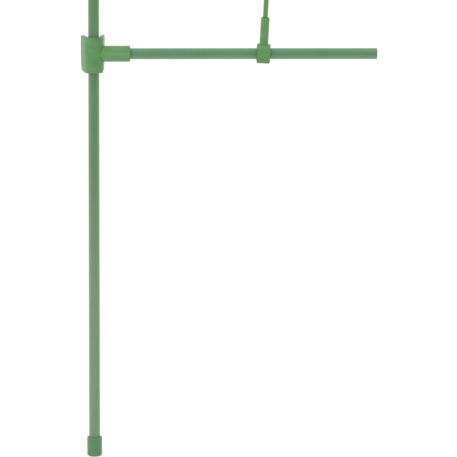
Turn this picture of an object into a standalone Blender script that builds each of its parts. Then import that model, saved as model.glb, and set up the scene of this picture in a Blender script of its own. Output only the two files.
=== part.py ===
"""Plant support: a plastic-coated steel stake, two clip-on arms and a thin rod held between the arms.

Metres, +Z up. The origin is the centre of the foot cap's lower face, on the stake's axis.
+X runs along both arms, and the connectors' mouths open to the back, towards +Y.
"""

import math

import bpy
from mathutils import Matrix, Vector

MM = 0.001

# Coated tube, the same for the stake and the arms
TUBE_R = 5.5 * MM
SKIN_BORE_R = 5.05 * MM
STEEL_R = 5.0 * MM
STEEL_BORE_R = 4.5 * MM
STAKE_LENGTH = 750 * MM
RUNNING_GAP = 0.3 * MM

# Heights and reaches of the frame
LOWER_ARM_Z = 411 * MM
ARM_SPACING = 300 * MM
UPPER_ARM_Z = LOWER_ARM_Z + ARM_SPACING
ARM_END_X = 281 * MM
ROD_LEAN = math.radians(2.9)
LOWER_CLIP_X = 168.1 * MM
UPPER_CLIP_X = LOWER_CLIP_X + ARM_SPACING * math.tan(ROD_LEAN)

# Push-on cap, the same at both ends of the stake
CAP_R = 7.5 * MM
CAP_HEIGHT = 19.5 * MM
CAP_FLOOR = 3.0 * MM
CAP_CORNER_R = 2.0 * MM
CAP_RIM_R = 0.6 * MM
CAP_BORE_R = TUBE_R + RUNNING_GAP
STAKE_TOP_Z = 2 * (CAP_FLOOR + RUNNING_GAP) + STAKE_LENGTH

# T connector: an open clip round the stake, and a socket for the arm
SADDLE_FRONT_R = 11.0 * MM
SADDLE_FRONT_Y = 2.9 * MM
SADDLE_SIDE_R = 2.5 * MM
SADDLE_SIDE_ANGLE = math.radians(-40)
SADDLE_BORE_R = TUBE_R + RUNNING_GAP
SADDLE_TOP = 17.4 * MM
SADDLE_FOOT = -18.6 * MM
SADDLE_LIP_CENTRE = (10.0 * MM, 7.7 * MM)
SADDLE_LIP_R = 1.9 * MM
SADDLE_THROAT_ANGLE = math.radians(30)
SADDLE_TAPER_R = 210 * MM
SADDLE_CORNER_R = 1.8 * MM
POCKET_R = 6.6 * MM
POCKET_WALL = [(6.7 * MM, 4.3 * MM), (7.6 * MM, 6.5 * MM), (10.3 * MM, 11.9 * MM)]
POCKET_DEPTH = 3.2 * MM
MOUTH_TURN = math.radians(7)
SOCKET_R = 8.0 * MM
SOCKET_BORE_R = TUBE_R + RUNNING_GAP
SOCKET_ROOT_R = 5.6 * MM
SOCKET_ROOT_X = 6.3 * MM
SOCKET_FLOOR_X = 10.5 * MM
SOCKET_END_X = 36.1 * MM
EDGE_BREAK = 0.5 * MM

# Rod clip: an open clip on the arm, with a stem that takes the thin rod
CLIP_R = 9.9 * MM
CLIP_BORE_R = 6.2 * MM
CLIP_LENGTH = 13.3 * MM
CLIP_LEG_CENTRE = (8.0 * MM, 7.3 * MM)
CLIP_THROAT_ANGLE = math.radians(40)
STEM_R = 4.3 * MM
STEM_START = 7.0 * MM
STEM_END = 36.4 * MM
STEM_FLOOR = 13.0 * MM
CLIP_LIP_R = 1.15 * MM
THROAT_R = 0.8 * MM

# Thin rod: a steel wire in a plastic skin
ROD_R = 2.5 * MM
ROD_SKIN_BORE_R = 1.95 * MM
ROD_WIRE_R = 1.9 * MM
ROD_BORE_R = ROD_R + RUNNING_GAP
ROD_START = STEM_FLOOR + RUNNING_GAP
ROD_LENGTH = ARM_SPACING / math.cos(ROD_LEAN) - 2 * ROD_START

# Fineness of round surfaces
SIDES = 32
ARC_STEP = math.radians(11.25)
OVERSHOOT = 1.0 * MM

# Colours as linear values: green skins, yellower moulded green, bare steel
SKIN_GREEN = (0.125, 0.240, 0.125, 1)
CAP_GREEN = (0.105, 0.235, 0.115, 1)
MOULDED_GREEN = (0.115, 0.275, 0.105, 1)
ROD_GREEN = (0.110, 0.255, 0.075, 1)
STEEL_GREY = (0.480, 0.485, 0.490, 1)


def clear_scene():
    for obj in list(bpy.data.objects):
        bpy.data.objects.remove(obj, do_unlink=True)


def new_collection(name):
    collection = bpy.data.collections.new(name)
    bpy.context.scene.collection.children.link(collection)
    return collection


def new_material(name, colour, roughness, metallic=0.0):
    material = bpy.data.materials.new(name)
    material.use_nodes = True
    shader = material.node_tree.nodes["Principled BSDF"]
    shader.inputs["Base Color"].default_value = colour
    shader.inputs["Roughness"].default_value = roughness
    shader.inputs["Metallic"].default_value = metallic
    return material


def new_object(name, data, collection):
    obj = bpy.data.objects.new(name, data)
    collection.objects.link(obj)
    return obj


def axis_empty(name, location, tilt=0.0):
    """An empty on an axis of the object, which carries the pieces of that axis."""
    empty = new_object(name, None, PARTS)
    empty.empty_display_size = 10 * MM
    empty.location = location
    empty.rotation_euler = (0, tilt, 0)
    return empty


def evaluated_mesh(obj):
    """The object's mesh with its modifiers worked in."""
    bpy.context.view_layer.update()
    graph = bpy.context.evaluated_depsgraph_get()
    return bpy.data.meshes.new_from_object(obj.evaluated_get(graph))


def settle(obj, material, parent, tilt=0.0):
    """Works in the modifiers, gives the piece its material and smooth shading, and hangs it on its axis."""
    mesh = evaluated_mesh(obj)
    obj.modifiers.clear()
    obj.data = mesh
    mesh.materials.clear()
    mesh.materials.append(material)
    mesh.shade_smooth()
    mesh.set_sharp_from_angle(angle=math.radians(35))
    obj.parent = parent
    obj.location = (0, 0, 0)
    obj.rotation_euler = (0, tilt, 0)
    return obj


def arc(centre, radius, start, end, least=2):
    """Points of an arc from one angle to the other, both ends included."""
    count = max(least, math.ceil(abs(end - start) / ARC_STEP) + 1)
    angles = [start + (end - start) * i / (count - 1) for i in range(count)]
    return [(centre[0] + radius * math.cos(a), centre[1] + radius * math.sin(a)) for a in angles]


def turned(name, profile, collection, closed=False):
    """A turned shape: the profile's (radius, height) points swept round Z by a Screw modifier."""
    mesh = bpy.data.meshes.new(name)
    count = len(profile)
    edges = [(i, (i + 1) % count) for i in range(count if closed else count - 1)]
    mesh.from_pydata([(r, 0, z) for r, z in profile], edges, [])
    obj = new_object(name, mesh, collection)
    screw = obj.modifiers.new("turn", "SCREW")
    screw.axis = "Z"
    screw.steps = SIDES
    screw.render_steps = SIDES
    screw.use_merge_vertices = True
    screw.merge_threshold = 0.01 * MM
    return obj


def rod_profile(radius, low, high):
    """A solid rod's side and ends."""
    return [(0, high), (radius, high), (radius, low), (0, low)]


def tube_profile(outer, inner, low, high):
    """A tube wall's section, a closed loop."""
    return [(outer, high), (outer, low), (inner, low), (inner, high)]


def extruded(name, outline, thickness, collection):
    """A flat outline in X and Y, made thick along Z about its own plane."""
    curve = bpy.data.curves.new(name, "CURVE")
    curve.dimensions = "2D"
    curve.fill_mode = "BOTH"
    curve.extrude = thickness / 2
    spline = curve.splines.new("POLY")
    spline.points.add(len(outline) - 1)
    for point, (x, y) in zip(spline.points, outline):
        point.co = (x, y, 0, 1)
    spline.use_cyclic_u = True
    guide = new_object(name + "_outline", curve, collection)
    mesh = evaluated_mesh(guide)
    bpy.data.objects.remove(guide, do_unlink=True)
    obj = new_object(name, mesh, collection)
    weld = obj.modifiers.new("weld", "WELD")
    weld.merge_threshold = 0.01 * MM
    return obj


def break_edges(obj, width):
    """Rounds the sharp edges round both flat faces."""
    bevel = obj.modifiers.new("edge_break", "BEVEL")
    bevel.width = width
    bevel.segments = 2
    bevel.limit_method = "ANGLE"
    bevel.angle_limit = math.radians(40)


def tangent_angle(centre_a, radius_a, centre_b, radius_b, side):
    """Angle of the normal that two circles share on a common outer tangent, on the side of the sign given."""
    gap = Vector(centre_b) - Vector(centre_a)
    return math.atan2(gap.y, gap.x) + side * math.acos((radius_a - radius_b) / gap.length)


def throat_centre(bore_r, throat_angle):
    """Centre of the rounded corner where the bore ends and the mouth begins."""
    reach = bore_r + THROAT_R
    return (reach * math.cos(throat_angle), reach * math.sin(throat_angle))


def turned_point(point, angle):
    x, y = point
    return (x * math.cos(angle) - y * math.sin(angle), x * math.sin(angle) + y * math.cos(angle))


def clip_outline(front, side, bore_r, lip, throat_angle):
    """Section of an open clip about the origin, with its mouth towards +Y.

    The outside is the front's points, the side circle and a straight run out to the lip's circle, each
    circle a centre and a radius. Inside, the bore ends at a rounded throat, narrower than the tube, from
    which the mouth flares to the ends of the lips.
    """
    throat = throat_centre(bore_r, throat_angle)
    outside = tangent_angle(*side, *lip, -1)
    flare = tangent_angle(throat, THROAT_R, *lip, 1)
    starts = -math.pi / 2
    if front:
        starts = math.atan2(front[-1][1] - side[0][1], front[-1][0] - side[0][0])
    half = front[:-1] + arc(*side, starts, outside)
    half += arc(*lip, outside, flare)
    half += arc(throat, THROAT_R, flare, throat_angle + math.pi)
    half += arc((0, 0), bore_r, throat_angle, -math.pi / 2)[1:]
    return half + [(-x, y) for x, y in reversed(half[1:-1])]


def combine(obj, other, operation):
    """A live Boolean with a helper, which stays in the cutters' collection and out of the render."""
    other.hide_render = True
    other.display_type = "WIRE"
    boolean = obj.modifiers.new(operation.lower() + "_" + other.name, "BOOLEAN")
    boolean.operation = operation
    boolean.object = other


def helper(name, profile, turn=(0, 0, 0)):
    """A turned helper shape for a Boolean, with its axis turned from Z by the angles given."""
    obj = turned(name, profile, CUTTERS)
    obj.rotation_euler = turn
    return obj


ALONG_X = (0, math.pi / 2, 0)

# Sends a section's Z to +X, its X to +Y and its +Y to -Z, without mirroring it
SECTION_TO_CLIP = Matrix(((0, 0, 1, 0), (1, 0, 0, 0), (0, -1, 0, 0), (0, 0, 0, 1)))


def saddle_outline():
    """The saddle's section: a broad front, sides that run back to thick lips, and the mouth."""
    centre = (0, SADDLE_FRONT_Y)
    reach = SADDLE_FRONT_R - SADDLE_SIDE_R
    side_centre = (reach * math.cos(SADDLE_SIDE_ANGLE), SADDLE_FRONT_Y + reach * math.sin(SADDLE_SIDE_ANGLE))
    front = arc(centre, SADDLE_FRONT_R, -math.pi / 2, SADDLE_SIDE_ANGLE)
    side = (side_centre, SADDLE_SIDE_R)
    lip = (SADDLE_LIP_CENTRE, SADDLE_LIP_R)
    outline = clip_outline(front, side, SADDLE_BORE_R, lip, SADDLE_THROAT_ANGLE)
    return [turned_point(point, MOUTH_TURN) for point in outline]


def saddle_limits():
    """Limits of the saddle seen from the front: straight above the arm, drawn in and rounded below it."""
    middle = turned_point((0, SADDLE_LIP_CENTRE[1]), MOUTH_TURN)[0]
    half_width = SADDLE_LIP_CENTRE[0] * math.cos(MOUTH_TURN) + SADDLE_LIP_R
    floor = SADDLE_FOOT - RUNNING_GAP
    inner_r = SADDLE_TAPER_R - SADDLE_CORNER_R
    corner_angle = math.asin((floor + SADDLE_CORNER_R) / inner_r)
    taper_centre = (half_width - SADDLE_TAPER_R, 0)
    corner = (taper_centre[0] + inner_r * math.cos(corner_angle), floor + SADDLE_CORNER_R)
    side = [(half_width, 2 * SADDLE_TOP)]
    side += arc(taper_centre, SADDLE_TAPER_R, 0, corner_angle, 5)
    side += arc(corner, SADDLE_CORNER_R, corner_angle, -math.pi / 2)[1:]
    return [(middle + x, z) for x, z in side] + [(middle - x, z) for x, z in reversed(side)]


def pocket_outline():
    """Outline of the wider pocket at each end of the saddle: round the stake, and out between the lips."""
    side = arc((0, 0), POCKET_R, -math.pi / 2, 0) + POCKET_WALL
    whole = side + [(-x, y) for x, y in reversed(side[1:])]
    return [turned_point(point, MOUTH_TURN) for point in whole]


def make_connector(name):
    """The T connector about the crossing of the stake's and the arm's axes."""
    connector = extruded(name, saddle_outline(), SADDLE_TOP - SADDLE_FOOT, PARTS)
    connector.data.transform(Matrix.Translation((0, 0, (SADDLE_TOP + SADDLE_FOOT) / 2)))
    for end, height in (("top", SADDLE_TOP), ("bottom", SADDLE_FOOT)):
        pocket = extruded(name + "_pocket_" + end, pocket_outline(), 2 * POCKET_DEPTH, CUTTERS)
        pocket.location = (0, 0, height)
        combine(connector, pocket, "DIFFERENCE")

    limits = extruded(name + "_limits", saddle_limits(), 4 * SADDLE_FRONT_R, CUTTERS)
    limits.rotation_euler = (math.pi / 2, 0, 0)
    combine(connector, limits, "INTERSECT")

    socket = helper(name + "_socket", [
        (0, SOCKET_END_X),
        (SOCKET_R - EDGE_BREAK, SOCKET_END_X),
        (SOCKET_R, SOCKET_END_X - EDGE_BREAK),
        (SOCKET_R, SOCKET_ROOT_X + SOCKET_R - SOCKET_ROOT_R),
        (SOCKET_ROOT_R, SOCKET_ROOT_X),
        (0, SOCKET_ROOT_X),
    ], ALONG_X)
    combine(connector, socket, "UNION")

    bore = helper(name + "_socket_bore", [
        (0, SOCKET_END_X + OVERSHOOT),
        (SOCKET_BORE_R + EDGE_BREAK, SOCKET_END_X + OVERSHOOT),
        (SOCKET_BORE_R + EDGE_BREAK, SOCKET_END_X),
        (SOCKET_BORE_R, SOCKET_END_X - EDGE_BREAK),
        (SOCKET_BORE_R, SOCKET_FLOOR_X),
        (0, SOCKET_FLOOR_X),
    ], ALONG_X)
    combine(connector, bore, "DIFFERENCE")
    return connector


def make_rod_clip(name):
    """The rod clip about the crossing of the arm's and the rod's axes, its stem towards +Z.

    The section is drawn with its mouth towards +Y and its length along Z. It is then turned so that its
    length lies along X and its mouth opens down.
    """
    body = ((0, 0), CLIP_R)
    outline = clip_outline([], body, CLIP_BORE_R, (CLIP_LEG_CENTRE, CLIP_LIP_R), CLIP_THROAT_ANGLE)
    clip = extruded(name, outline, CLIP_LENGTH, PARTS)
    clip.data.transform(SECTION_TO_CLIP)
    break_edges(clip, EDGE_BREAK)

    stem = helper(name + "_stem", [
        (0, STEM_END),
        (STEM_R - EDGE_BREAK, STEM_END),
        (STEM_R, STEM_END - EDGE_BREAK),
        (STEM_R, STEM_START),
        (0, STEM_START),
    ])
    combine(clip, stem, "UNION")

    bore = helper(name + "_stem_bore", rod_profile(ROD_BORE_R, STEM_FLOOR, STEM_END + OVERSHOOT))
    combine(clip, bore, "DIFFERENCE")
    return clip


def cap_profile():
    """The cap from the rim's top down its outside, and back up the bore, with the closed end low."""
    foot = arc((CAP_R - CAP_CORNER_R, CAP_CORNER_R), CAP_CORNER_R, 0, -math.pi / 2)
    rim_centre = (CAP_R - CAP_RIM_R, CAP_HEIGHT - CAP_RIM_R)
    rim = arc(rim_centre, CAP_RIM_R, math.pi / 2, 0)
    return [(0, CAP_FLOOR), (CAP_BORE_R, CAP_FLOOR), (CAP_BORE_R, CAP_HEIGHT)] + rim + foot + [(0, 0)]


def make_cap(name, location, tilt):
    cap = turned(name, cap_profile(), PARTS)
    settle(cap, MATERIALS["cap"], None, tilt)
    cap.location = location
    return cap


def make_coated_tube(name, length_from, length_to, parent, tilt=0.0):
    """A steel tube and the plastic skin round it, along the parent's Z, or along its X when tilted."""
    core = turned(name + "_core", tube_profile(STEEL_R, STEEL_BORE_R, length_from, length_to), PARTS, True)
    settle(core, MATERIALS["steel"], parent, tilt)
    skin = turned(name + "_coating", tube_profile(TUBE_R, SKIN_BORE_R, length_from, length_to), PARTS, True)
    settle(skin, MATERIALS["skin"], parent, tilt)


def make_stake():
    """The stake's tube, between the two caps."""
    axis = axis_empty("stake_axis", (0, 0, 0))
    foot = CAP_FLOOR + RUNNING_GAP
    make_coated_tube("stake", foot, foot + STAKE_LENGTH, axis)


def make_arm(level, height):
    """The T connector and its arm at one height on the stake."""
    axis = axis_empty(level + "_arm_axis", (0, 0, height))
    connector = make_connector(level + "_connector")
    settle(connector, MATERIALS["moulded"], axis)
    make_coated_tube(level + "_arm", SOCKET_FLOOR_X + RUNNING_GAP, ARM_END_X, axis, math.pi / 2)


def make_thin_rod(axis):
    """The wire and its skin, between the floors of the two clips' stems."""
    end = ROD_START + ROD_LENGTH
    wire = turned("rod_core", rod_profile(ROD_WIRE_R, ROD_START, end), PARTS)
    settle(wire, MATERIALS["steel"], axis)
    skin = turned("rod_coating", tube_profile(ROD_R, ROD_SKIN_BORE_R, ROD_START, end), PARTS, True)
    settle(skin, MATERIALS["rod_skin"], axis)


def main():
    make_cap("foot_cap", (0, 0, 0), 0.0)
    make_stake()
    make_cap("top_cap", (0, 0, STAKE_TOP_Z), math.pi)
    make_arm("lower", LOWER_ARM_Z)
    make_arm("upper", UPPER_ARM_Z)

    lower_axis = axis_empty("lower_clip_axis", (LOWER_CLIP_X, 0, LOWER_ARM_Z), ROD_LEAN)
    settle(make_rod_clip("lower_rod_clip"), MATERIALS["moulded"], lower_axis)
    make_thin_rod(lower_axis)
    upper_axis = axis_empty("upper_clip_axis", (UPPER_CLIP_X, 0, UPPER_ARM_Z), ROD_LEAN + math.pi)
    settle(make_rod_clip("upper_rod_clip"), MATERIALS["moulded"], upper_axis)


clear_scene()
PARTS = new_collection("plant_support")
CUTTERS = new_collection("cutters")
MATERIALS = {
    "skin": new_material("green_skin", SKIN_GREEN, 0.45),
    "cap": new_material("green_cap", CAP_GREEN, 0.50),
    "moulded": new_material("moulded_green", MOULDED_GREEN, 0.45),
    "rod_skin": new_material("rod_skin", ROD_GREEN, 0.40),
    "steel": new_material("steel", STEEL_GREY, 0.35, 1.0),
}
main()
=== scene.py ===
"""Plant support: a green coated stake, two clip-on arms and a thin rod held between them.

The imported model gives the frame. Every shape that shows is modelled again here in finer detail and
rides on its body. Metres, +Z up, with the origin under the foot cap and +X along both arms.
"""

import math

import bpy
from mathutils import Matrix, Vector


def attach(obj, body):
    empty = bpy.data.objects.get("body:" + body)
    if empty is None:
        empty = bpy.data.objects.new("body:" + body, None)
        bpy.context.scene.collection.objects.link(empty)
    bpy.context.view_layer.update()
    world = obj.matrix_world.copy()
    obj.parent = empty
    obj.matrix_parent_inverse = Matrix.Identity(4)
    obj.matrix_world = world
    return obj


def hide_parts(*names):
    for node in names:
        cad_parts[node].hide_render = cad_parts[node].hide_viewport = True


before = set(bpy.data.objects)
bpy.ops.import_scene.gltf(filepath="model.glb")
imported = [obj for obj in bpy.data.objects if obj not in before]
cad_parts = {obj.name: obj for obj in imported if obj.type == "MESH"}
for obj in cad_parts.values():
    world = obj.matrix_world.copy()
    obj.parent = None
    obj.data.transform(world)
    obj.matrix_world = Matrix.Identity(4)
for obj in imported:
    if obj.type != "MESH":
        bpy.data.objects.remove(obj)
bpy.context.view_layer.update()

MM = 0.001

# Coated tube, the same for the stake and the arms
TUBE_R = 5.5 * MM
SKIN_BORE_R = 5.05 * MM
STEEL_R = 5.0 * MM
STEEL_BORE_R = 4.5 * MM
SKIN_END_R = 0.16 * MM
STEEL_END_R = 0.12 * MM
STAKE_LENGTH = 750 * MM
RUNNING_GAP = 0.3 * MM

# Heights and reaches of the frame
LOWER_ARM_Z = 411 * MM
ARM_SPACING = 300 * MM
UPPER_ARM_Z = LOWER_ARM_Z + ARM_SPACING
ARM_END_X = 281 * MM
ROD_LEAN = math.radians(2.9)
LOWER_CLIP_X = 168.1 * MM
UPPER_CLIP_X = LOWER_CLIP_X + ARM_SPACING * math.tan(ROD_LEAN)

# Push-on cap
CAP_R = 7.5 * MM
CAP_HEIGHT = 19.5 * MM
CAP_FLOOR = 3.0 * MM
CAP_CORNER_R = 2.0 * MM
CAP_RIM_R = 0.6 * MM
CAP_BORE_R = TUBE_R + RUNNING_GAP
CAP_WIPER_R = TUBE_R + 0.06 * MM
CAP_WIPER_DEPTH = 0.9 * MM
CAP_MOUTH_R = 0.25 * MM
CAP_DIMPLE_R = 1.6 * MM
CAP_DIMPLE_DEPTH = 0.25 * MM
STAKE_START = CAP_FLOOR + RUNNING_GAP
CAP_TOP_Z = 2 * STAKE_START + STAKE_LENGTH

# T connector: an open saddle round the stake, and a socket for the arm
SADDLE_FRONT_R = 11.0 * MM
SADDLE_FRONT = Vector((0, 2.9)) * MM
SADDLE_SIDE_R = 2.5 * MM
SADDLE_SIDE_AT = math.radians(-40)
SADDLE_BORE_R = TUBE_R + RUNNING_GAP
SADDLE_TOP = 17.4 * MM
SADDLE_FOOT = -18.6 * MM
SADDLE_LIP = Vector((10.0, 7.7)) * MM
SADDLE_LIP_R = 1.89 * MM
SADDLE_THROAT = math.radians(30)
SADDLE_TAPER_R = 210 * MM
SADDLE_TOP_RIM_R = 0.4 * MM
SADDLE_FOOT_RIM_R = 0.25 * MM
POCKET_R = 6.6 * MM
POCKET_WALL = (Vector((6.7, 4.3)) * MM, Vector((7.6, 6.5)) * MM, Vector((10.3, 11.9)) * MM)
POCKET_DEPTH = 3.2 * MM
POCKET_DRAFT = 0.97
FOOT_POCKET_NARROWED = 0.87

# How far lips are drawn in near an end, as (distance from the end, draw) in mm
SADDLE_CORNER = ((0.0, 0.8), (0.9, 0.25), (1.8, 0.0))
CLIP_CORNER = ((0.0, 0.9), (0.45, 0.3), (1.1, 0.0))

MOUTH_TURN = math.radians(7)
SOCKET_R = 8.0 * MM
SOCKET_BORE_R = TUBE_R + RUNNING_GAP
SOCKET_ROOT = Vector((5.6, 6.3)) * MM
SOCKET_FILLET_R = 1.2 * MM
SOCKET_SHOULDER_R = 0.8 * MM
SOCKET_FLOOR_X = 10.5 * MM
ARM_START_X = SOCKET_FLOOR_X + RUNNING_GAP
SOCKET_END_X = 36.1 * MM
SOCKET_RIM_R = 0.7 * MM
SOCKET_MOUTH_R = 0.5 * MM

# Rod clip: an open clip on the arm, and a stem for the thin rod
CLIP_R = 9.86 * MM
CLIP_BORE_R = 6.2 * MM
CLIP_LENGTH = 13.3 * MM
CLIP_LIP = Vector((8.0, 7.3)) * MM
CLIP_LIP_R = 1.15 * MM
CLIP_THROAT = math.radians(40)
CLIP_RIM_R = 0.6 * MM
STEM_R = 4.3 * MM
STEM_START = 7.0 * MM
STEM_END = 36.4 * MM
STEM_FLOOR = 13.0 * MM
STEM_RIM_R = 0.6 * MM
STEM_MOUTH_R = 0.3 * MM
THROAT_R = 0.8 * MM

# Thin rod
ROD_R = 2.5 * MM
ROD_SKIN_BORE_R = 1.95 * MM
ROD_BORE_R = ROD_R + RUNNING_GAP
ROD_START = STEM_FLOOR + RUNNING_GAP
ROD_LENGTH = ARM_SPACING / math.cos(ROD_LEAN) - 2 * ROD_START

# Parts of a turn
QUARTER = math.pi / 2
EIGHTH = math.pi / 4

# Fineness of round surfaces, and how near two points are to be one
SIDES = 96
TAPER_STEPS = 5
ARC_STEP = math.radians(3.75)
SHORTEST_CHORD = 0.12 * MM
FEWEST_STEPS = 3
STEP_SLACK = 0.01
JOIN = 0.01 * MM
SLIVER = 0.03 * MM
NEAR = 0.045 * MM
OVERSHOOT = 1.0 * MM
CREASE = math.radians(32)
RIM_STEPS = 4
FOOT_RIM_STEPS = 3


# Drawing and shaping

def only(piece):
    """Selects this piece and nothing else."""
    bpy.ops.object.select_all(action="DESELECT")
    piece.select_set(True)
    bpy.context.view_layer.objects.active = piece


def open_piece(piece):
    """Puts one piece alone in edit mode, with all of it selected."""
    only(piece)
    bpy.ops.object.mode_set(mode="EDIT")
    bpy.ops.mesh.select_all(action="SELECT")


def close_piece():
    bpy.ops.object.mode_set(mode="OBJECT")


def line(x, y):
    return "line", Vector((x, y)), 0.0


def arc(centre, sweep):
    return "arc", Vector(centre), sweep


def draw(name, start, moves, upright=False):
    """Draws an outline as a chain of edges, flat on the ground or standing in the X and Z plane."""
    def placed(point):
        return (point.x, 0, point.y) if upright else (point.x, point.y, 0)

    bpy.ops.object.select_all(action="DESELECT")
    bpy.ops.mesh.primitive_plane_add(size=MM)
    piece = bpy.context.active_object
    piece.name = name
    piece.data.name = name
    open_piece(piece)
    bpy.ops.mesh.merge(type="CENTER")
    pen = Vector(start)
    bpy.ops.transform.translate(value=placed(pen))
    for kind, point, sweep in moves:
        if kind == "line":
            step = {"value": placed(point - pen)}
            bpy.ops.mesh.extrude_vertices_move(TRANSFORM_OT_translate=step)
            pen = point
            continue
        finest = max(ARC_STEP, SHORTEST_CHORD / (pen - point).length)
        steps = max(FEWEST_STEPS, math.ceil(abs(sweep) / finest - STEP_SLACK))
        axis = (0, -1, 0) if upright else (0, 0, 1)
        bpy.ops.mesh.spin(steps=steps, angle=-sweep, center=placed(point), axis=axis)
        pen = point + Matrix.Rotation(sweep, 2) @ (pen - point)
    close_piece()
    return piece


def join_points(piece):
    """Joins doubled points and turns every face outwards."""
    open_piece(piece)
    bpy.ops.mesh.remove_doubles(threshold=JOIN)
    bpy.ops.mesh.normals_make_consistent(inside=False)
    close_piece()


def clear_slivers(piece):
    """Takes out the hair-thin faces and edges that a cut leaves."""
    open_piece(piece)
    bpy.ops.mesh.dissolve_degenerate(threshold=SLIVER)
    close_piece()


def turn_on_lathe(piece):
    """Spins an upright profile a full turn round Z."""
    open_piece(piece)
    bpy.ops.mesh.spin(steps=SIDES, angle=2 * math.pi, center=(0, 0, 0), axis=(0, 0, 1))
    close_piece()
    join_points(piece)
    return piece


def apply_modifier(piece, kind, **settings):
    """Adds one modifier with these settings and works it in."""
    only(piece)
    bpy.ops.object.modifier_add(type=kind)
    modifier = piece.modifiers[-1]
    for setting, value in settings.items():
        setattr(modifier, setting, value)
    bpy.ops.object.modifier_apply(modifier=modifier.name)


def mirror_outline(piece):
    apply_modifier(piece, "MIRROR", use_axis=(True, False, False), merge_threshold=JOIN)


def extrude_outline(piece, thickness):
    """Fills a flat outline and makes it thick, half to each side of its own plane."""
    open_piece(piece)
    bpy.ops.mesh.edge_face_add()
    bpy.ops.transform.translate(value=(0, 0, -thickness / 2))
    bpy.ops.mesh.extrude_region_move(TRANSFORM_OT_translate={"value": (0, 0, thickness)})
    close_piece()
    join_points(piece)


def select_faces(piece, wanted):
    """Opens the piece with just those faces selected, by their middle."""
    for face in piece.data.polygons:
        face.select = wanted(face.center)
    for edge in piece.data.edges:
        edge.select = False
    for vertex in piece.data.vertices:
        vertex.select = False
    only(piece)
    bpy.context.tool_settings.mesh_select_mode = (False, False, True)
    bpy.ops.object.mode_set(mode="EDIT")


def select_points(piece, wanted):
    """Opens the piece with just those points selected, by their place."""
    only(piece)
    for face in piece.data.polygons:
        face.select = False
    for edge in piece.data.edges:
        edge.select = False
    for vertex in piece.data.vertices:
        vertex.select = wanted(vertex.co)
    bpy.context.tool_settings.mesh_select_mode = (True, False, False)
    bpy.ops.object.mode_set(mode="EDIT")


def round_rims(piece, wanted, width, segments=RIM_STEPS):
    """Rounds the edges round the faces that are wanted, and joins points that come too near by it."""
    select_faces(piece, wanted)
    bpy.ops.mesh.region_to_loop()
    bpy.ops.mesh.bevel(offset=width, segments=segments, affect="EDGES")
    bpy.ops.mesh.remove_doubles(threshold=NEAR)
    close_piece()
    bpy.context.tool_settings.mesh_select_mode = (True, False, False)


def move(piece, matrix):
    """Works a move and turn into the mesh, so the object itself stays at the origin."""
    only(piece)
    piece.matrix_world = matrix
    bpy.ops.object.transform_apply(location=True, rotation=True, scale=True)
    return piece


def combine(piece, other, operation):
    """Joins the other shape on, cuts it away or keeps what both share, and then drops it."""
    apply_modifier(piece, "BOOLEAN", operation=operation, solver="EXACT", object=other)
    bpy.data.objects.remove(other, do_unlink=True)


def copy_of(piece, name):
    only(piece)
    bpy.ops.object.duplicate()
    twin = bpy.context.active_object
    twin.name = name
    twin.data.name = name
    return twin


def smooth(piece):
    only(piece)
    bpy.ops.object.shade_smooth_by_angle(angle=CREASE)


# Places and turns of the pieces

def at(x, z, turn=0.0):
    """A place on the frame, turned about Y."""
    return Matrix.Translation((x, 0, z)) @ Matrix.Rotation(turn, 4, "Y")


ALONG_ARM = Matrix.Rotation(QUARTER, 4, "Y")

# Sends a section's Z to +X, its X to +Y and its +Y to -Z
SECTION_TO_CLIP = Matrix(((0, 0, 1, 0), (1, 0, 0, 0), (0, -1, 0, 0), (0, 0, 0, 1)))


# Shapes of the pieces

def tangent_angle(centre_a, radius_a, centre_b, radius_b, side):
    """Direction, from their centres, in which two circles touch a common outer tangent."""
    gap = Vector(centre_b) - Vector(centre_a)
    return math.atan2(gap.y, gap.x) + side * math.acos((radius_a - radius_b) / gap.length)


def rim(centre, radius, angle):
    return Vector(centre) + radius * Vector((math.cos(angle), math.sin(angle)))


def clip_section(name, front_arcs, side, side_r, bore_r, lip, lip_r, throat_angle):
    """Section of an open clip with a flared mouth at +Y, one half drawn and then mirrored.

    The outside starts at the front with the front arcs, goes on round the side circle and runs straight
    out to the rounded lips.
    """
    origin = Vector((0, 0))
    throat = rim(origin, bore_r + THROAT_R, throat_angle)
    turned = sum(sweep for kind, centre, sweep in front_arcs) - QUARTER
    outside = tangent_angle(side, side_r, lip, lip_r, -1)
    flare = tangent_angle(throat, THROAT_R, lip, lip_r, 1)
    start = rim(side, side_r, turned)
    for kind, centre, sweep in reversed(front_arcs):
        start = centre + Matrix.Rotation(-sweep, 2) @ (start - centre)
    section = draw(name, start, front_arcs + [
        arc(side, outside - turned),
        line(*rim(lip, lip_r, outside)),
        arc(lip, flare - outside),
        line(*rim(throat, THROAT_R, flare)),
        arc(throat, throat_angle + math.pi - flare),
        arc(origin, -QUARTER - throat_angle),
    ])
    mirror_outline(section)
    return section


def ring_ended_tube(name, outer, inner, low, high, end_r):
    """A tube with its ends' edges rounded."""
    return turn_on_lathe(draw(name, (outer, low + end_r), [
        line(outer, high - end_r),
        arc((outer - end_r, high - end_r), QUARTER),
        line(inner + end_r, high),
        arc((inner + end_r, high - end_r), QUARTER),
        line(inner, low + end_r),
        arc((inner + end_r, low + end_r), QUARTER),
        line(outer - end_r, low),
        arc((outer - end_r, low + end_r), QUARTER),
    ], upright=True))


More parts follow.
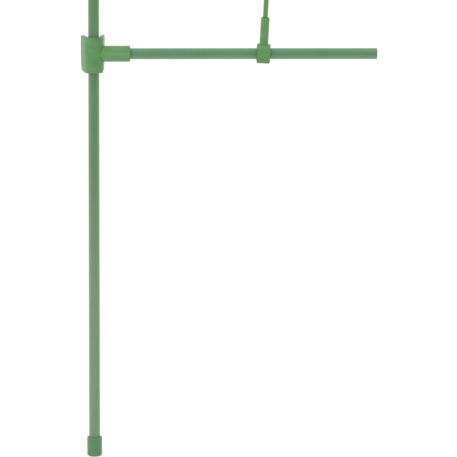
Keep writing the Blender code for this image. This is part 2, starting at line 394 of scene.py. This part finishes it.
def make_cap(name):
    """The push-on cap, closed end down, with rounded edges, a lip that wipes the stake and a dimple."""
    return turn_on_lathe(draw(name, (0, CAP_DIMPLE_DEPTH), [
        line(CAP_DIMPLE_R - CAP_DIMPLE_DEPTH, CAP_DIMPLE_DEPTH),
        line(CAP_DIMPLE_R, 0),
        line(CAP_R - CAP_CORNER_R, 0),
        arc((CAP_R - CAP_CORNER_R, CAP_CORNER_R), QUARTER),
        line(CAP_R, CAP_HEIGHT - CAP_RIM_R),
        arc((CAP_R - CAP_RIM_R, CAP_HEIGHT - CAP_RIM_R), QUARTER),
        line(CAP_WIPER_R + CAP_MOUTH_R, CAP_HEIGHT),
        arc((CAP_WIPER_R + CAP_MOUTH_R, CAP_HEIGHT - CAP_MOUTH_R), QUARTER),
        line(CAP_WIPER_R, CAP_HEIGHT - CAP_WIPER_DEPTH),
        line(CAP_BORE_R, CAP_HEIGHT - 2 * CAP_WIPER_DEPTH),
        line(CAP_BORE_R, CAP_FLOOR),
        line(0, CAP_FLOOR),
    ], upright=True))


def rounded_plug(name, radius, low, high, end_r):
    """A solid round bar whose high end is rounded."""
    return turn_on_lathe(draw(name, (0, low), [
        line(radius, low),
        line(radius, high - end_r),
        arc((radius - end_r, high - end_r), QUARTER),
        line(0, high),
    ], upright=True))


def bore_cutter(name, radius, low, high, mouth_r):
    """A drill that cuts a bore up to its open end and rounds the edge of the opening."""
    return turn_on_lathe(draw(name, (0, low), [
        line(radius, low),
        line(radius, high - mouth_r),
        arc((radius + mouth_r, high - mouth_r), -QUARTER),
        line(radius + mouth_r, high + OVERSHOOT),
        line(0, high + OVERSHOOT),
    ], upright=True))


def pocket_cutter(name, end):
    """Cuts the wider pocket into an end of the saddle: round the stake, and out between the lips."""
    pocket = draw(name, (0, -POCKET_R), [
        arc((0, 0), QUARTER),
        *(line(*point) for point in POCKET_WALL),
        line(0, POCKET_WALL[-1].y),
    ])
    mirror_outline(pocket)
    extrude_outline(pocket, 2 * POCKET_DEPTH)
    select_points(pocket, lambda point: point.z * end < 0)
    bpy.ops.transform.resize(value=(POCKET_DRAFT, POCKET_DRAFT, 1), center_override=(0, 0, 0))
    close_piece()
    narrowed = Matrix.Diagonal((1 if end > 0 else FOOT_POCKET_NARROWED, 1, 1, 1))
    return move(pocket, Matrix.Translation((0, 0, end)) @ Matrix.Rotation(MOUTH_TURN, 4, "Z") @ narrowed)


def raise_section(section, heights):
    """Fills a flat section and raises it through these heights."""
    open_piece(section)
    bpy.ops.mesh.edge_face_add()
    bpy.ops.transform.translate(value=(0, 0, heights[0]))
    for low, high in zip(heights, heights[1:]):
        bpy.ops.mesh.extrude_region_move(TRANSFORM_OT_translate={"value": (0, 0, high - low)})
    close_piece()
    join_points(section)


def draw_lips_in(piece, lip, lip_r, height, scale):
    """Moves both lips towards the middle at one height of the raised section."""
    def on_lip(point):
        from_lip = Vector((abs(point.x), point.y)) - lip
        return abs(point.z - height) < JOIN and from_lip.length < lip_r + JOIN

    select_points(piece, on_lip)
    bpy.ops.transform.resize(value=scale, center_override=(0, 0, 0))
    close_piece()


def make_saddle(name):
    """The open saddle: its section raised in steps, with the lips drawn in towards its foot."""
    draws = {SADDLE_FOOT + height * MM: draw * MM for height, draw in SADDLE_CORNER}
    taper_start = max(draws)
    for step in range(1, TAPER_STEPS + 1):
        draws[taper_start * (1 - step / TAPER_STEPS)] = 0.0
    draws[SADDLE_TOP] = 0.0

    broad_front = arc(SADDLE_FRONT, SADDLE_SIDE_AT + QUARTER)
    side = rim(SADDLE_FRONT, SADDLE_FRONT_R - SADDLE_SIDE_R, SADDLE_SIDE_AT)
    lip = SADDLE_LIP, SADDLE_LIP_R
    saddle = clip_section(name, [broad_front], side, SADDLE_SIDE_R, SADDLE_BORE_R, *lip, SADDLE_THROAT)
    raise_section(saddle, sorted(draws))
    for height, draw_in in draws.items():
        taper = SADDLE_TAPER_R - math.sqrt(SADDLE_TAPER_R ** 2 - min(height, 0) ** 2)
        narrowed = 1 - (taper + draw_in) / (SADDLE_LIP.x + SADDLE_LIP_R)
        if narrowed < 1:
            draw_lips_in(saddle, *lip, height, (narrowed, 1, 1))
    return move(saddle, Matrix.Rotation(MOUTH_TURN, 4, "Z"))


def make_socket(name):
    """The socket's outside, with a fillet off the saddle's front, a coned root and a small shoulder."""
    reach = SADDLE_FRONT_R + SOCKET_FILLET_R
    offset = SADDLE_FRONT.y + SOCKET_ROOT.x - SOCKET_ROOT.y
    touch = math.acos((offset / math.sqrt(2) + SOCKET_FILLET_R) / reach) - EIGHTH
    fillet = Vector((reach * math.cos(touch) - SADDLE_FRONT.y, reach * math.sin(touch)))

    cone = SOCKET_R - SOCKET_ROOT.x
    shoulder = Vector((SOCKET_R - SOCKET_SHOULDER_R, SOCKET_ROOT.y + cone))
    shoulder.y += SOCKET_SHOULDER_R * math.tan(EIGHTH / 2)
    return turn_on_lathe(draw(name, (0, SOCKET_ROOT.y), [
        line(*rim(fillet, SOCKET_FILLET_R, touch + math.pi)),
        arc(fillet, -touch - EIGHTH),
        line(*rim(shoulder, SOCKET_SHOULDER_R, -EIGHTH)),
        arc(shoulder, EIGHTH),
        line(SOCKET_R, SOCKET_END_X - SOCKET_RIM_R),
        arc((SOCKET_R - SOCKET_RIM_R, SOCKET_END_X - SOCKET_RIM_R), QUARTER),
        line(0, SOCKET_END_X),
    ], upright=True))


def make_connector(name):
    """The T connector about the crossing of the stake's and the arm's axes."""
    connector = make_saddle(name)
    combine(connector, move(make_socket(name + "_socket"), ALONG_ARM), "UNION")
    bore = bore_cutter(name + "_bore", SOCKET_BORE_R, SOCKET_FLOOR_X, SOCKET_END_X, SOCKET_MOUTH_R)
    combine(connector, move(bore, ALONG_ARM), "DIFFERENCE")
    for end in (SADDLE_TOP, SADDLE_FOOT):
        combine(connector, pocket_cutter(name + "_pocket", end), "DIFFERENCE")
    clear_slivers(connector)
    round_rims(connector, lambda middle: middle.z > SADDLE_TOP - JOIN, SADDLE_TOP_RIM_R)
    round_rims(connector, lambda middle: middle.z < SADDLE_FOOT + JOIN, SADDLE_FOOT_RIM_R, FOOT_RIM_STEPS)
    return connector


def make_rod_clip(name):
    """The rod clip about the crossing of the arm's and the rod's axes, its stem towards +Z."""
    end = CLIP_LENGTH / 2
    draws = {side * (end - depth * MM): draw * MM for depth, draw in CLIP_CORNER for side in (-1, 1)}
    lip = CLIP_LIP, CLIP_LIP_R
    clip = clip_section(name, [], Vector((0, 0)), CLIP_R, CLIP_BORE_R, *lip, CLIP_THROAT)
    raise_section(clip, sorted(draws))
    for height, draw_in in draws.items():
        lowered = 1 - draw_in / (CLIP_LIP.y + CLIP_LIP_R)
        draw_lips_in(clip, *lip, height, (1, lowered, 1))
    round_rims(clip, lambda middle: abs(middle.z) > end - JOIN, CLIP_RIM_R)
    move(clip, SECTION_TO_CLIP)
    combine(clip, rounded_plug(name + "_stem", STEM_R, STEM_START, STEM_END, STEM_RIM_R), "UNION")
    combine(clip, bore_cutter(name + "_bore", ROD_BORE_R, STEM_FLOOR, STEM_END, STEM_MOUTH_R), "DIFFERENCE")
    clear_slivers(clip)
    return clip


def install(piece, place, body, node, material):
    """Puts a finished piece in its place on its body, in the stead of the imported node."""
    move(piece, place)
    smooth(piece)
    piece.data.materials.clear()
    piece.data.materials.append(material)
    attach(piece, body)
    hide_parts(node)
    return piece


# Finishes

def rgb(red, green, blue):
    return red, green, blue, 1.0


ALONG_X = (1, 0, 0)
ALONG_Z = (0, 0, 1)

# Patterns on a tube, as millimetres across it and along it
STREAKS = 1.1, 80
DIE_LINES = 0.3, 45
CLOUDS = 16, 30
RUBS = 1.6, 9
FLOOR_LIGHT_GAPS = 1.3, 7
PEEL = 0.9, 1.5
DRAWN_LINES = 0.4, 40

# Patterns on mouldings and steel, in millimetres
FLOW_MARKS = Vector((12, 12, 60 / 11))
CAP_GRAIN = 0.35
FINE_GRAIN = 0.30
STEEL_PATCHES = 3

# Where a noise value starts to show as a mark, and where it shows in full
TUBE_SHADE = 0.35, 0.65
WORN_FROM = 0.45, 0.62
RUBBED_FROM = 0.6, 0.7
FLOOR_LIGHT_GAPS_FROM = 0.42, 0.62
MOULDED_SHADE = 0.34, 0.66
LINES_FROM = 0.35, 0.65
BROWN_FROM = 0.6, 0.72

# The stake painted paler towards its foot: painted light from the pale floor
FLOOR_LIGHT_LOW = 182 * MM
FLOOR_LIGHT_HIGH = 312 * MM
FLOOR_LIGHT_EDGE = 12 * MM

# The painted highlight: a pale band along the front of each socket
HIGHLIGHT_RAISED = 0.8 * MM
HIGHLIGHT_CORE = 0.6 * MM
HIGHLIGHT_END = 4.1 * MM
HIGHLIGHT_EDGE = 0.8 * MM
HIGHLIGHT_STARTS = 4.0 * MM, 16.0 * MM

# Gloss and relief
SKIN_ROUGHNESS = 0.32
SKIN_GLOSS = 0.65
COAT_ROUGHNESS = 0.2
COATING_RELIEF = 0.05 * MM
MOULDED_ROUGHNESS = 0.26
MOULDED_RELIEF = 0.05 * MM
STEEL_ROUGHNESS = 0.3
STEEL_RELIEF = 0.01 * MM
PLASTIC_IOR = 1.5
STEEL_IOR = 2.5

RUBBED_GREEN = rgb(0.20, 0.30, 0.19)
STEEL_DARK = rgb(0.42, 0.43, 0.44)
STEEL_BRIGHT = rgb(0.62, 0.63, 0.64)
STEEL_BROWN = rgb(0.22, 0.13, 0.08)


class Socket:
    """One output of a shader node. Sums on it add Math nodes, and the method node adds any other node."""

    def __init__(self, tree, output):
        self.tree = tree
        self.output = output

    def node(self, kind, settings, sockets, output=0):
        """A node of this kind in the same tree, with its settings made first and its sockets filled next."""
        made = self.tree.nodes.new(kind)
        for setting, value in settings.items():
            setattr(made, setting, value)
        for socket, value in sockets.items():
            if isinstance(value, Socket):
                self.tree.links.new(value.output, made.inputs[socket])
            else:
                made.inputs[socket].default_value = value
        return Socket(self.tree, made.outputs[output])

    def maths(self, operation, *values):
        """A Math node on these values, in their order."""
        return self.node("ShaderNodeMath", {"operation": operation}, dict(enumerate(values)))

    def along(self, axis):
        """How far the coordinates lie along X, Y or Z."""
        return self.node("ShaderNodeSeparateXYZ", {}, {0: self}, axis)

    def towards(self, way):
        """How far a place lies in this direction, or how well a direction points that way."""
        return self.node("ShaderNodeVectorMath", {"operation": "DOT_PRODUCT"}, {0: self, 1: way}, "Value")

    def __add__(self, other):
        return self.maths("ADD", self, other)

    def __radd__(self, other):
        return self.maths("ADD", other, self)

    def __sub__(self, other):
        return self.maths("SUBTRACT", self, other)

    def __rsub__(self, other):
        return self.maths("SUBTRACT", other, self)

    def __mul__(self, other):
        return self.maths("MULTIPLY", self, other)

    def __rmul__(self, other):
        return self.maths("MULTIPLY", other, self)


def in_grid(place, size):
    """Coordinates for a pattern of this size along X, Y and Z, in millimetres, through a Mapping node."""
    scale = [1 / (length * MM) for length in size]
    return place.node("ShaderNodeMapping", {}, {"Vector": place, "Scale": scale})


def lengthwise(place, along, across, length):
    """Coordinates for a pattern drawn out along a tube: its size across the tube and along it."""
    return in_grid(place, [length if share else across for share in along])


def grain(place, detail=2.0, roughness=0.5):
    """Cloudy noise from 0 to 1, one cloud to each unit of the coordinates."""
    sockets = {"Vector": place, "Scale": 1.0, "Detail": detail, "Roughness": roughness}
    return place.node("ShaderNodeTexNoise", {}, sockets, "Fac")


def between(value, low, high):
    """Rises smoothly from 0 at the low value to 1 at the high one."""
    sockets = {"Value": value, "From Min": low, "From Max": high}
    return value.node("ShaderNodeMapRange", {"interpolation_type": "SMOOTHSTEP"}, sockets, "Result")


def blend_colours(share, first, second):
    """Goes from the first colour to the second as the share goes from 0 to 1."""
    sockets = {0: share, 6: first, 7: second}
    return share.node("ShaderNodeMix", {"data_type": "RGBA"}, sockets, 2)


def finish(name, paint, metallic=0.0, ior=PLASTIC_IOR, coat=0.0):
    """A material whose colour, roughness and relief the paint function makes from the coordinates."""
    material = bpy.data.materials.new(name)
    material.use_nodes = True
    tree = material.node_tree
    shader = tree.nodes["Principled BSDF"]
    shader.inputs["Metallic"].default_value = metallic
    shader.inputs["IOR"].default_value = ior
    shader.inputs["Coat Weight"].default_value = coat
    shader.inputs["Coat Roughness"].default_value = COAT_ROUGHNESS
    place = Socket(tree, tree.nodes.new("ShaderNodeTexCoord").outputs["Object"])
    colour, roughness, relief, height = paint(place)
    normal = place.node("ShaderNodeBump", {}, {"Height": relief, "Distance": height})
    for socket, value in (("Base Color", colour), ("Roughness", roughness), ("Normal", normal)):
        tree.links.new(value.output, shader.inputs[socket])
    return material


def coated_tube(name, along, green, faded, floor_lit_colour=None):
    """Extruded coating: lines and streaks along the tube, clouds, rubbed spots and perhaps a foot painted
    paler with light from the pale floor.
    """
    def paint(place):
        streaks = grain(lengthwise(place, along, *STREAKS), detail=3.0)
        die_lines = grain(lengthwise(place, along, *DIE_LINES))
        clouds = grain(lengthwise(place, along, *CLOUDS), detail=3.0, roughness=0.55)
        rubs = grain(lengthwise(place, along, *RUBS), detail=4.0, roughness=0.65)
        rubbed = between(rubs, *RUBBED_FROM) * between(clouds, *WORN_FROM)
        shade = streaks * 0.35 + die_lines * 0.25 + clouds * 0.4
        colour = blend_colours(between(shade, *TUBE_SHADE), green, faded)
        roughness = SKIN_ROUGHNESS + clouds * 0.1 + rubbed * 0.12
        if floor_lit_colour:
            # Painted floor light: the stake made paler towards its foot, broken by gaps, as if lit from the
            # pale floor below
            foot = 1 - between(place.along("Z") + clouds * FLOOR_LIGHT_EDGE, FLOOR_LIGHT_LOW, FLOOR_LIGHT_HIGH)
            light_gaps = grain(lengthwise(place, along, *FLOOR_LIGHT_GAPS), detail=4.0, roughness=0.6)
            colour = blend_colours(foot * (1 - between(light_gaps, *FLOOR_LIGHT_GAPS_FROM) * 0.5), colour, floor_lit_colour)
            roughness = roughness + foot * 0.06
        colour = blend_colours(rubbed * 0.5, colour, RUBBED_GREEN)
        peel = grain(lengthwise(place, along, *PEEL))
        return colour, roughness, streaks * 0.3 + die_lines * 0.3 + peel * 0.4, COATING_RELIEF

    return finish(name, paint, coat=SKIN_GLOSS)


def painted_socket_highlight(place, flow):
    """A painted highlight: a pale band along the front of the sockets, the same on both T connectors."""
    bounds = LOWER_ARM_Z + ARM_SPACING / 2, LOWER_ARM_Z - ARM_SPACING / 2
    height = place.maths("WRAP", place.along("Z"), *bounds)
    off = place.maths("ABSOLUTE", height - (LOWER_ARM_Z + HIGHLIGHT_RAISED))
    highlight_band = 1 - between(off + flow * HIGHLIGHT_EDGE, HIGHLIGHT_CORE, HIGHLIGHT_END)
    return highlight_band * between(place.along("X"), *HIGHLIGHT_STARTS)


def moulded_plastic(name, green, faded, grain_size, highlight_colour=None):
    """Moulded plastic: a fine sparked grain, soft flow marks and slightly uneven gloss, and a painted
    highlight along the sockets where a highlight colour is given.
    """
    def paint(place):
        flow = grain(in_grid(place, FLOW_MARKS), roughness=0.55)
        fine = grain(in_grid(place, [grain_size] * 3), roughness=0.6)
        shade = between(flow * 0.6 + fine * 0.4, *MOULDED_SHADE)
        colour = blend_colours(shade, green, faded)
        # Painted highlight: a paler band along the middle of each socket's front
        if highlight_colour:
            colour = blend_colours(painted_socket_highlight(place, flow), colour, highlight_colour)
        roughness = MOULDED_ROUGHNESS + flow * 0.12
        return colour, roughness, fine * 0.7 + flow * 0.3, MOULDED_RELIEF

    return finish(name, paint)


def drawn_steel(name, along):
    """Cold drawn steel: bright lines along the tube, dull patches and a little brown rust."""
    def paint(place):
        lines = grain(lengthwise(place, along, *DRAWN_LINES), detail=3.0)
        patches = grain(in_grid(place, [STEEL_PATCHES] * 3), detail=3.0, roughness=0.6)
        brown = between(patches, *BROWN_FROM)
        colour = blend_colours(between(lines, *LINES_FROM), STEEL_DARK, STEEL_BRIGHT)
        colour = blend_colours(brown * 0.5, colour, STEEL_BROWN)
        roughness = STEEL_ROUGHNESS + patches * 0.2 + brown * 0.2
        return colour, roughness, lines, STEEL_RELIEF

    return finish(name, paint, metallic=1.0, ior=STEEL_IOR)


# The third colour is the painted light from the floor on the stake's lower part
stake_finish = coated_tube(
    "stake_green", ALONG_Z, rgb(0.110, 0.240, 0.102), rgb(0.140, 0.283, 0.131), rgb(0.181, 0.294, 0.155)
)
arm_finish = coated_tube("arm_green", ALONG_X, rgb(0.107, 0.258, 0.128), rgb(0.136, 0.305, 0.161))
rod_finish = coated_tube("rod_green", ALONG_Z, rgb(0.101, 0.285, 0.047), rgb(0.131, 0.334, 0.072))
cap_finish = moulded_plastic("cap_green", rgb(0.093, 0.235, 0.097), rgb(0.122, 0.286, 0.128), CAP_GRAIN)
# The fourth colour is the painted highlight on the sockets
tee_finish = moulded_plastic(
    "tee_green", rgb(0.112, 0.298, 0.095), rgb(0.143, 0.351, 0.127), FINE_GRAIN, rgb(0.172, 0.372, 0.153)
)
clip_finish = moulded_plastic("clip_green", rgb(0.116, 0.302, 0.094), rgb(0.147, 0.356, 0.125), FINE_GRAIN)
stake_steel = drawn_steel("stake_steel", ALONG_Z)
arm_steel = drawn_steel("arm_steel", ALONG_X)


# Pieces

cap = make_cap("push_on_foot")
twin_cap = copy_of(cap, "push_on_top")
install(cap, Matrix(), "foot", "foot_cap", cap_finish)
install(twin_cap, at(0, CAP_TOP_Z, math.pi), "stake", "top_cap", cap_finish)

stake_ends = STAKE_START, STAKE_START + STAKE_LENGTH
stake_skin = ring_ended_tube("stake_skin", TUBE_R, SKIN_BORE_R, *stake_ends, SKIN_END_R)
install(stake_skin, Matrix(), "stake", "stake_coating", stake_finish)

tee = make_connector("lower_tee")
twin_tee = copy_of(tee, "upper_tee")
install(tee, at(0, LOWER_ARM_Z), "lower_connector", "lower_connector", tee_finish)
install(twin_tee, at(0, UPPER_ARM_Z), "upper_connector", "upper_connector", tee_finish)

for level, height in (("lower", LOWER_ARM_Z), ("upper", UPPER_ARM_Z)):
    arm = level + "_arm"
    along = at(0, height) @ ALONG_ARM
    skin = ring_ended_tube(arm + "_skin", TUBE_R, SKIN_BORE_R, ARM_START_X, ARM_END_X, SKIN_END_R)
    install(skin, along, arm, arm + "_coating", arm_finish)
    tube = ring_ended_tube(arm + "_tube", STEEL_R, STEEL_BORE_R, ARM_START_X, ARM_END_X, STEEL_END_R)
    install(tube, along, arm, arm + "_core", arm_steel)

rod_clip = make_rod_clip("lower_snap_clip")
twin_clip = copy_of(rod_clip, "upper_snap_clip")
lower_clip_place = at(LOWER_CLIP_X, LOWER_ARM_Z, ROD_LEAN)
upper_clip_place = at(UPPER_CLIP_X, UPPER_ARM_Z, ROD_LEAN + math.pi)
install(rod_clip, lower_clip_place, "lower_rod_clip", "lower_rod_clip", clip_finish)
install(twin_clip, upper_clip_place, "upper_rod_clip", "upper_rod_clip", clip_finish)

rod_ends = ROD_START, ROD_START + ROD_LENGTH
rod_skin = ring_ended_tube("thin_rod_skin", ROD_R, ROD_SKIN_BORE_R, *rod_ends, SKIN_END_R)
install(rod_skin, lower_clip_place, "thin_rod", "rod_coating", rod_finish)

for core in ("stake_core", "rod_core"):
    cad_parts[core].data.materials.clear()
    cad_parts[core].data.materials.append(stake_steel)


# Camera and light

SENSOR_WIDTH = 36
SEES_AS_FAR_AS = 60
LIGHT_PATHS = ("Camera", "Glossy", "Transmission")
TO_FRONT = (0, -1, 0)
TO_RIGHT = (1, 0, 0)
WHITE = rgb(1, 1, 1)
TENT_LIGHT = 0.90
FRONT_DIMMED = 0.8
RIGHT_DIMMED = 0.15
DIMMED_FROM = 0.1, 0.9
FLOOR_SIZE = 60
FLOOR_GAP = 0.05 * MM
FLOOR_COLOUR = rgb(0.85, 0.85, 0.85)
FLOOR_SHADOW = rgb(0.3, 0.3, 0.3)
FLOOR_GLOW = 0.76
FLOOR_LIT = 0.3
FLOOR_DIM = 1.3
KEY_DIRECTION = (0.85, 0.55, -0.45)
KEY_ANGLE = math.radians(40)
KEY_STRENGTH = 0.4


def camera_at(target, distance, azimuth, elevation, roll, lens):
    """A long lens that looks at the target from that side and height."""
    bpy.ops.object.select_all(action="DESELECT")
    bpy.ops.object.camera_add()
    camera = bpy.context.active_object
    camera.name = "camera"
    camera.data.lens = lens
    camera.data.sensor_width = SENSOR_WIDTH
    camera.data.clip_end = SEES_AS_FAR_AS
    side = Matrix.Rotation(azimuth, 4, "Z") @ Matrix.Rotation(QUARTER - elevation, 4, "X")
    back = Matrix.Translation((0, 0, distance)) @ Matrix.Rotation(roll, 4, "Z")
    camera.matrix_world = Matrix.Translation(target) @ side @ back
    bpy.context.scene.camera = camera


camera_at(
    target=Vector((0.1342, 0, 0.2337)),
    distance=4.8,
    azimuth=math.radians(-1.35),
    elevation=math.radians(12.1),
    roll=math.radians(0.2),
    lens=378.4,
)

bpy.context.scene.view_settings.view_transform = "Standard"


def light_path(tree):
    """1 for a camera ray, and 1 for a gloss or glass ray."""
    path = tree.nodes.new("ShaderNodeLightPath")
    camera, gloss, glass = (Socket(tree, path.outputs[f"Is {kind} Ray"]) for kind in LIGHT_PATHS)
    return camera, gloss + glass


def mix_shaders(share, first, second):
    return share.node("ShaderNodeMixShader", {}, {0: share, 1: first, 2: second})


def light_surroundings():
    """A white tent, which the camera sees as plain white and the gloss sees dimmer in front."""
    world = bpy.data.worlds.new("white_tent")
    world.use_nodes = True
    bpy.context.scene.world = world
    tree = world.node_tree
    camera, gloss = light_path(tree)
    direction = Socket(tree, tree.nodes.new("ShaderNodeTexCoord").outputs["Generated"])
    ahead = between(direction.towards(TO_FRONT), *DIMMED_FROM)
    aside = between(direction.towards(TO_RIGHT), *DIMMED_FROM)
    shaded = ahead * FRONT_DIMMED + aside * RIGHT_DIMMED
    even = direction.node("ShaderNodeBackground", {}, {"Color": WHITE, "Strength": TENT_LIGHT})
    glossy = direction.node("ShaderNodeBackground", {}, {"Color": WHITE, "Strength": 1 - shaded})
    white = direction.node("ShaderNodeBackground", {}, {"Color": WHITE, "Strength": 1.0})
    seen = mix_shaders(camera, mix_shaders(gloss, even, glossy), white)
    tree.links.new(seen.output, tree.nodes["World Output"].inputs["Surface"])


def lay_floor():
    """A pale floor that looks white, takes a faint shadow and is dimmer in the gloss far out in front."""
    bpy.ops.object.select_all(action="DESELECT")
    bpy.ops.mesh.primitive_plane_add(size=FLOOR_SIZE, location=(0, 0, -FLOOR_GAP))
    floor = bpy.context.active_object
    floor.name = "pale_floor"
    material = bpy.data.materials.new("pale_floor")
    material.use_nodes = True
    tree = material.node_tree
    tree.nodes.remove(tree.nodes["Principled BSDF"])
    camera, gloss = light_path(tree)
    pale = camera.node("ShaderNodeBsdfDiffuse", {}, {"Color": FLOOR_COLOUR})
    faint = camera.node("ShaderNodeBsdfDiffuse", {}, {"Color": FLOOR_SHADOW})
    place = Socket(tree, tree.nodes.new("ShaderNodeTexCoord").outputs["Object"])
    lit = 1 - between(place.towards(TO_FRONT), FLOOR_LIT, FLOOR_DIM) * gloss
    glow = camera.node("ShaderNodeEmission", {}, {"Color": WHITE, "Strength": lit * FLOOR_GLOW})
    bright = camera.node("ShaderNodeAddShader", {}, {0: faint, 1: glow})
    seen = mix_shaders(camera + gloss, pale, bright)
    tree.links.new(seen.output, tree.nodes["Material Output"].inputs["Surface"])
    floor.data.materials.append(material)


def soft_sun(name, direction, angle, strength):
    """A wide, soft lamp that shines along the direction."""
    bpy.ops.object.select_all(action="DESELECT")
    bpy.ops.object.light_add(type="SUN")
    lamp = bpy.context.active_object
    lamp.name = name
    lamp.data.angle = angle
    lamp.data.energy = strength
    lamp.rotation_euler = Vector(direction).to_track_quat("-Z", "Y").to_euler()


light_surroundings()
lay_floor()
soft_sun("key", KEY_DIRECTION, KEY_ANGLE, KEY_STRENGTH)
